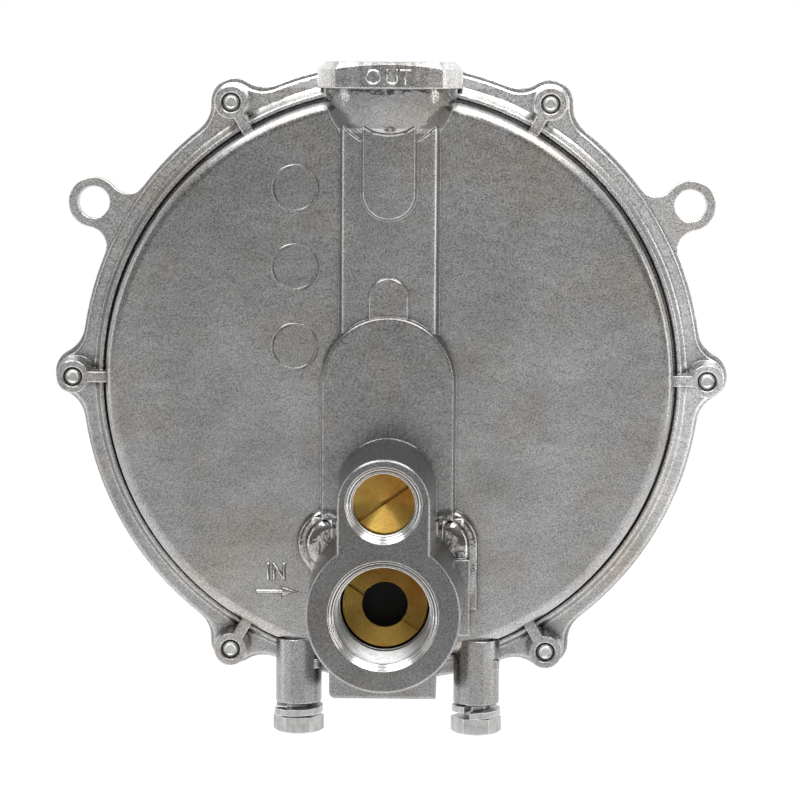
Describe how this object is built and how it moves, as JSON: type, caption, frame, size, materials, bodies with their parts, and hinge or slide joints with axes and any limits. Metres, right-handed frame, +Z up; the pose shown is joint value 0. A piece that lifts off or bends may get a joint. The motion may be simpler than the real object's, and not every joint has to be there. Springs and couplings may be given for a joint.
{
  "type": "low pressure gas regulator",
  "caption": "Round diaphragm gas regulator: cast body with a top outlet, a front inlet with brass orifice and adjusting screw, a rear cover with fixing lugs and a primer button.",
  "frame": {"origin": "midpoint between the two fixing lug holes, on the rear face of the lugs", "axes": "+Z up towards the outlet port, -Y forward out of the inlet port, +X to the right seen from the front"},
  "size_m": [0.1722, 0.0899, 0.1694],
  "materials": {
    "cast_body": "bright die-cast aluminium with a fine grain, satin where faced",
    "cast_cover": "bright die-cast aluminium with a fine grain",
    "screw_steel": "zinc-plated steel",
    "bolt_zinc": "bright zinc-plated steel",
    "washer_steel": "bright zinc-plated spring steel",
    "orifice_brass": "turned brass with fine radial tool marks",
    "screw_brass": "turned brass with fine tool marks",
    "button_brass": "smooth turned brass",
    "seal_rubber": "smooth black rubber",
    "valve_rubber": "matt black rubber",
    "diaphragm_rubber": "black fabric-backed rubber",
    "spring_steel": "drawn spring steel",
    "lever_steel": "pressed zinc-plated steel",
    "pin_steel": "ground steel",
    "plate_zinc": "pressed zinc-plated steel",
    "rivet_aluminium": "turned aluminium"
  },
  "bodies": {
    "base": {"body_casting": "cast_body", "rear_cover": "cast_cover", "cover_screws": "screw_steel", "bracket_bolts": "bolt_zinc", "lock_washers": "washer_steel", "inlet_orifice": "orifice_brass", "orifice_o_ring": "seal_rubber", "lever_spring": "spring_steel", "lever_pivot_pin": "pin_steel", "pivot_pin_screws": "screw_steel", "diaphragm": "diaphragm_rubber", "primer_spring": "spring_steel"},
    "primer": {"primer_button": "button_brass", "primer_retaining_ring": "spring_steel"},
    "diaphragm_stack": {"diaphragm_front_plate": "plate_zinc", "diaphragm_rear_plate": "plate_zinc", "diaphragm_rivet": "rivet_aluminium"},
    "lever": {"valve_lever": "lever_steel", "valve_disc_holder": "orifice_brass", "valve_disc": "valve_rubber"},
    "adjuster_seal": {"adjusting_screw_o_ring": "seal_rubber"},
    "adjuster": {"adjusting_screw": "screw_brass"}
  },
  "joints": [
    {"name": "primer_press", "type": "slide", "parent": "base", "child": "primer", "axis": [0, -1, 0], "range_m": [0, 0.0035], "stiffness_N_per_m": 400, "springref_m": -0.002, "deforming": ["primer_spring"]},
    {"name": "diaphragm_travel", "type": "slide", "parent": "base", "child": "diaphragm_stack", "axis": [0, -1, 0], "range_m": [0, 0.0036], "deforming": ["diaphragm"]},
    {"name": "lever_swing", "type": "hinge", "parent": "base", "child": "lever", "pos_m": [0, -0.0235, -0.08355], "axis": [1, 0, 0], "range_deg": [0, 5.2], "deforming": ["lever_spring"]},
    {"name": "adjusting_screw_advance", "type": "slide", "parent": "base", "child": "adjuster_seal", "axis": [0, 1, 0], "range_m": [-0.002, 0.002]},
    {"name": "adjusting_screw_turn", "type": "hinge", "parent": "adjuster_seal", "child": "adjuster", "pos_m": [0, -0.0545, -0.0696], "axis": [0, 1, 0], "range_deg": [-720, 720]}
  ],
  "couplings": [
    {"joint": "diaphragm_travel", "follows": "primer_press", "ratio": 1},
    {"joint": "lever_swing", "follows": "primer_press", "rad_per_m": 25},
    {"joint": "adjusting_screw_turn", "follows": "adjusting_screw_advance", "rad_per_m": 6283.2}
  ]
}
